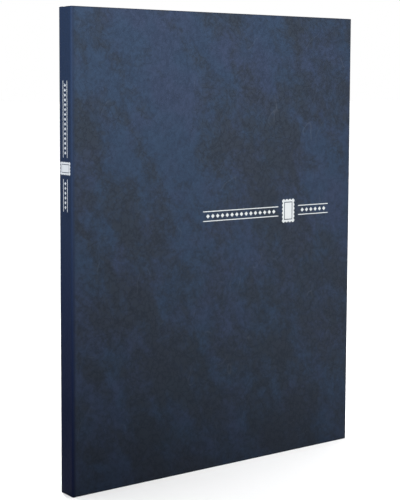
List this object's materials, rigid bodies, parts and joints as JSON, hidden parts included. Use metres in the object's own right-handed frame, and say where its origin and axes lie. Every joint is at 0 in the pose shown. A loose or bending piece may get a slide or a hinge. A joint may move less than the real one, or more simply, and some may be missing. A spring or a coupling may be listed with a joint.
{
  "type": "stamp album",
  "caption": "Slim casebound stamp album with hinged covers, card leaves with clear pocket strips, glassine interleaves and a plain foil ornament on cover and spine.",
  "frame": {"origin": "centre of the footprint of the closed album, on the surface that its tail edge stands on", "axes": "+Z from tail to head, -X towards the spine and +X towards the fore edge, -Y out of the front cover and +Y out of the back cover"},
  "size_m": [0.2, 0.013, 0.263],
  "materials": {
    "leatherette": "satin",
    "foil": "satin",
    "greyboard": "matte",
    "endpaper": "matte",
    "lining_cloth": "matte",
    "band_cloth": "satin",
    "black_card": "matte",
    "hinge_cloth": "matte",
    "clear_film": "gloss",
    "glassine": "satin",
    "wire": "satin"
  },
  "bodies": {
    "spine": {"spine_board": "greyboard", "spine_covering": "leatherette", "spine_foil": "foil", "spine_lining": "lining_cloth", "head_band": "band_cloth", "tail_band": "band_cloth", "guard_strips": "black_card", "bound_cloth_edges": "hinge_cloth", "bound_interleaf_edges": "glassine", "binding_staples": "wire"},
    "front_cover": {"front_board": "greyboard", "front_covering": "leatherette", "front_endpaper": "endpaper", "cover_foil": "foil"},
    "back_cover": {"back_board": "greyboard", "back_covering": "leatherette", "back_endpaper": "endpaper"},
    "leaf_1": {"leaf_1_card": "black_card", "leaf_1_hinge_cloth": "hinge_cloth", "leaf_1_front_strips": "clear_film", "leaf_1_back_strips": "clear_film"},
    "leaf_2": {"leaf_2_card": "black_card", "leaf_2_hinge_cloth": "hinge_cloth", "leaf_2_front_strips": "clear_film", "leaf_2_back_strips": "clear_film"},
    "leaf_3": {"leaf_3_card": "black_card", "leaf_3_hinge_cloth": "hinge_cloth", "leaf_3_front_strips": "clear_film", "leaf_3_back_strips": "clear_film"},
    "leaf_4": {"leaf_4_card": "black_card", "leaf_4_hinge_cloth": "hinge_cloth", "leaf_4_front_strips": "clear_film", "leaf_4_back_strips": "clear_film"},
    "leaf_5": {"leaf_5_card": "black_card", "leaf_5_hinge_cloth": "hinge_cloth", "leaf_5_front_strips": "clear_film", "leaf_5_back_strips": "clear_film"},
    "leaf_6": {"leaf_6_card": "black_card", "leaf_6_hinge_cloth": "hinge_cloth", "leaf_6_front_strips": "clear_film", "leaf_6_back_strips": "clear_film"},
    "leaf_7": {"leaf_7_card": "black_card", "leaf_7_hinge_cloth": "hinge_cloth", "leaf_7_front_strips": "clear_film", "leaf_7_back_strips": "clear_film"},
    "leaf_8": {"leaf_8_card": "black_card", "leaf_8_hinge_cloth": "hinge_cloth", "leaf_8_front_strips": "clear_film", "leaf_8_back_strips": "clear_film"},
    "interleaf_1": {"interleaf_1": "glassine"},
    "interleaf_2": {"interleaf_2": "glassine"},
    "interleaf_3": {"interleaf_3": "glassine"},
    "interleaf_4": {"interleaf_4": "glassine"},
    "interleaf_5": {"interleaf_5": "glassine"},
    "interleaf_6": {"interleaf_6": "glassine"},
    "interleaf_7": {"interleaf_7": "glassine"}
  },
  "joints": [
    {"name": "front_cover_hinge", "type": "hinge", "parent": "spine", "child": "front_cover", "pos_m": [-0.09977, -0.00627, 0.1315], "axis": [0, 0, -1], "range_deg": [0, 178]},
    {"name": "back_cover_hinge", "type": "hinge", "parent": "spine", "child": "back_cover", "pos_m": [-0.09977, 0.00627, 0.1315], "axis": [0, 0, 1], "range_deg": [0, 178]},
    {"name": "leaf_1_hinge", "type": "hinge", "parent": "spine", "child": "leaf_1", "pos_m": [-0.0905, -0.00336, 0.1315], "axis": [0, 0, -1], "range_deg": [0, 84]},
    {"name": "leaf_2_hinge", "type": "hinge", "parent": "spine", "child": "leaf_2", "pos_m": [-0.0905, -0.0024, 0.1315], "axis": [0, 0, -1], "range_deg": [0, 60]},
    {"name": "leaf_3_hinge", "type": "hinge", "parent": "spine", "child": "leaf_3", "pos_m": [-0.0905, -0.00144, 0.1315], "axis": [0, 0, -1], "range_deg": [0, 36]},
    {"name": "leaf_4_hinge", "type": "hinge", "parent": "spine", "child": "leaf_4", "pos_m": [-0.0905, -0.00048, 0.1315], "axis": [0, 0, -1], "range_deg": [0, 12]},
    {"name": "leaf_5_hinge", "type": "hinge", "parent": "spine", "child": "leaf_5", "pos_m": [-0.0905, 0.00048, 0.1315], "axis": [0, 0, 1], "range_deg": [0, 12]},
    {"name": "leaf_6_hinge", "type": "hinge", "parent": "spine", "child": "leaf_6", "pos_m": [-0.0905, 0.00144, 0.1315], "axis": [0, 0, 1], "range_deg": [0, 36]},
    {"name": "leaf_7_hinge", "type": "hinge", "parent": "spine", "child": "leaf_7", "pos_m": [-0.0905, 0.0024, 0.1315], "axis": [0, 0, 1], "range_deg": [0, 60]},
    {"name": "leaf_8_hinge", "type": "hinge", "parent": "spine", "child": "leaf_8", "pos_m": [-0.0905, 0.00336, 0.1315], "axis": [0, 0, 1], "range_deg": [0, 84]},
    {"name": "interleaf_1_hinge", "type": "hinge", "parent": "spine", "child": "interleaf_1", "pos_m": [-0.0905, -0.00288, 0.1315], "axis": [0, 0, -1], "range_deg": [0, 72]},
    {"name": "interleaf_2_hinge", "type": "hinge", "parent": "spine", "child": "interleaf_2", "pos_m": [-0.0905, -0.00192, 0.1315], "axis": [0, 0, -1], "range_deg": [0, 48]},
    {"name": "interleaf_3_hinge", "type": "hinge", "parent": "spine", "child": "interleaf_3", "pos_m": [-0.0905, -0.00096, 0.1315], "axis": [0, 0, -1], "range_deg": [0, 24]},
    {"name": "interleaf_4_hinge", "type": "hinge", "parent": "spine", "child": "interleaf_4", "pos_m": [-0.0905, 0, 0.1315], "axis": [0, 0, -1], "range_deg": [0, 4]},
    {"name": "interleaf_5_hinge", "type": "hinge", "parent": "spine", "child": "interleaf_5", "pos_m": [-0.0905, 0.00096, 0.1315], "axis": [0, 0, 1], "range_deg": [0, 24]},
    {"name": "interleaf_6_hinge", "type": "hinge", "parent": "spine", "child": "interleaf_6", "pos_m": [-0.0905, 0.00192, 0.1315], "axis": [0, 0, 1], "range_deg": [0, 48]},
    {"name": "interleaf_7_hinge", "type": "hinge", "parent": "spine", "child": "interleaf_7", "pos_m": [-0.0905, 0.00288, 0.1315], "axis": [0, 0, 1], "range_deg": [0, 72]}
  ],
  "couplings": [
    {"joint": "leaf_1_hinge", "follows": "front_cover_hinge", "ratio": 0.4719},
    {"joint": "leaf_2_hinge", "follows": "front_cover_hinge", "ratio": 0.337},
    {"joint": "leaf_3_hinge", "follows": "front_cover_hinge", "ratio": 0.2022},
    {"joint": "leaf_4_hinge", "follows": "front_cover_hinge", "ratio": 0.0674},
    {"joint": "leaf_5_hinge", "follows": "back_cover_hinge", "ratio": 0.0674},
    {"joint": "leaf_6_hinge", "follows": "back_cover_hinge", "ratio": 0.2022},
    {"joint": "leaf_7_hinge", "follows": "back_cover_hinge", "ratio": 0.337},
    {"joint": "leaf_8_hinge", "follows": "back_cover_hinge", "ratio": 0.4719},
    {"joint": "interleaf_1_hinge", "follows": "front_cover_hinge", "ratio": 0.4044},
    {"joint": "interleaf_2_hinge", "follows": "front_cover_hinge", "ratio": 0.2696},
    {"joint": "interleaf_3_hinge", "follows": "front_cover_hinge", "ratio": 0.1348},
    {"joint": "interleaf_4_hinge", "follows": "front_cover_hinge", "ratio": 0.0224},
    {"joint": "interleaf_5_hinge", "follows": "back_cover_hinge", "ratio": 0.1348},
    {"joint": "interleaf_6_hinge", "follows": "back_cover_hinge", "ratio": 0.2696},
    {"joint": "interleaf_7_hinge", "follows": "back_cover_hinge", "ratio": 0.4044}
  ]
}
